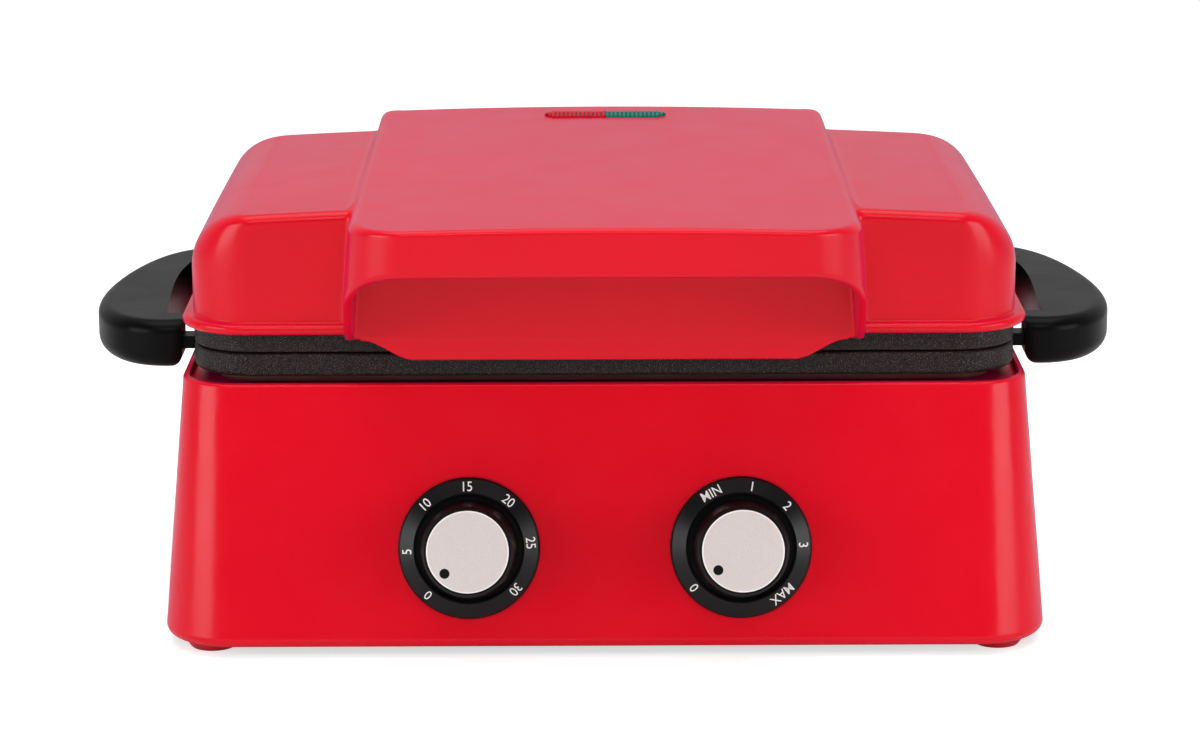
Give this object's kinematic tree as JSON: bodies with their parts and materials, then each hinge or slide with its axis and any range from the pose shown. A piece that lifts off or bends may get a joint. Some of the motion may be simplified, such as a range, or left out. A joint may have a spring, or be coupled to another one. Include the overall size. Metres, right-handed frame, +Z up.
{
  "type": "lava cake maker",
  "caption": "Countertop lava cake maker with a hinged hooded lid, moulded non-stick plates, side handles, timer and thermostat dials.",
  "frame": {"origin": "centre of the overall box in X and Y, on the table surface under the feet", "axes": "+Z up, -Y towards the dials, X along the lid's hinge"},
  "size_m": [0.4062, 0.302, 0.1762],
  "materials": {
    "red_paint": "glossy",
    "red_plastic": "glossy",
    "black_plastic": "satin",
    "handle_plastic": "satin",
    "nonstick": "non-stick coating with pale flecks",
    "screw_steel": "zinc plated",
    "hinge_steel": "satin black",
    "sheet_aluminium": "plain sheet",
    "element_steel": "dull",
    "brass_parts": "satin",
    "white_plastic": "matte",
    "red_lens": "translucent ribbed",
    "green_lens": "translucent ribbed",
    "lamp_glass": "clear",
    "cap_metal": "fine brushed"
  },
  "bodies": {
    "base": {"base_housing": "red_paint", "bottom_cover": "black_plastic", "bottom_cover_screws": "screw_steel", "foot_front_left": "red_plastic", "foot_front_right": "red_plastic", "foot_rear_left": "red_plastic", "foot_rear_right": "red_plastic", "lower_cooking_plate": "nonstick", "mould_cup_front_left": "nonstick", "mould_cup_front_middle": "nonstick", "mould_cup_front_right": "nonstick", "mould_cup_rear_left": "nonstick", "mould_cup_rear_middle": "nonstick", "mould_cup_rear_right": "nonstick", "lower_plate_screws": "screw_steel", "shield_pillars": "screw_steel", "lower_heat_shield": "sheet_aluminium", "shield_screws": "screw_steel", "lower_heating_element": "element_steel", "thermostat_bulb": "brass_parts", "thermal_fuse": "brass_parts", "terminal_block": "white_plastic", "cord_gland": "black_plastic", "timer_body": "black_plastic", "thermostat_body": "screw_steel", "timer_bezel": "black_plastic", "thermostat_bezel": "black_plastic", "hinge_bracket_left": "hinge_steel", "hinge_bracket_right": "hinge_steel", "hinge_bracket_screws": "screw_steel", "hinge_pins": "screw_steel", "side_handle_left": "handle_plastic", "side_handle_right": "handle_plastic", "handle_pins": "screw_steel"},
    "lid": {"lid_shell": "red_paint", "lid_hood": "red_paint", "upper_cooking_plate": "nonstick", "upper_plate_screws": "screw_steel", "upper_heating_element": "element_steel", "upper_heat_shield": "sheet_aluminium", "red_lens": "red_lens", "green_lens": "green_lens", "lamp_holder": "white_plastic", "indicator_lamps": "lamp_glass", "hinge_arm_left": "hinge_steel", "hinge_arm_right": "hinge_steel", "hinge_arm_screws": "screw_steel"},
    "timer_knob": {"timer_knob": "black_plastic", "timer_knob_cap": "cap_metal", "timer_knob_dot": "black_plastic", "timer_shaft": "screw_steel"},
    "thermostat_knob": {"thermostat_knob": "black_plastic", "thermostat_knob_cap": "cap_metal", "thermostat_knob_dot": "black_plastic", "thermostat_shaft": "screw_steel"}
  },
  "joints": [
    {"name": "lid_hinge", "type": "hinge", "parent": "base", "child": "lid", "pos_m": [0, 0.143, 0.112], "axis": [-1, 0, 0], "range_deg": [0, 100]},
    {"name": "timer_turn", "type": "hinge", "parent": "base", "child": "timer_knob", "pos_m": [-0.0517, -0.10325, 0.042], "axis": [0, 0.9772, -0.2122], "range_deg": [0, 270]},
    {"name": "thermostat_turn", "type": "hinge", "parent": "base", "child": "thermostat_knob", "pos_m": [0.0517, -0.10325, 0.042], "axis": [0, 0.9772, -0.2122], "range_deg": [0, 269]}
  ]
}
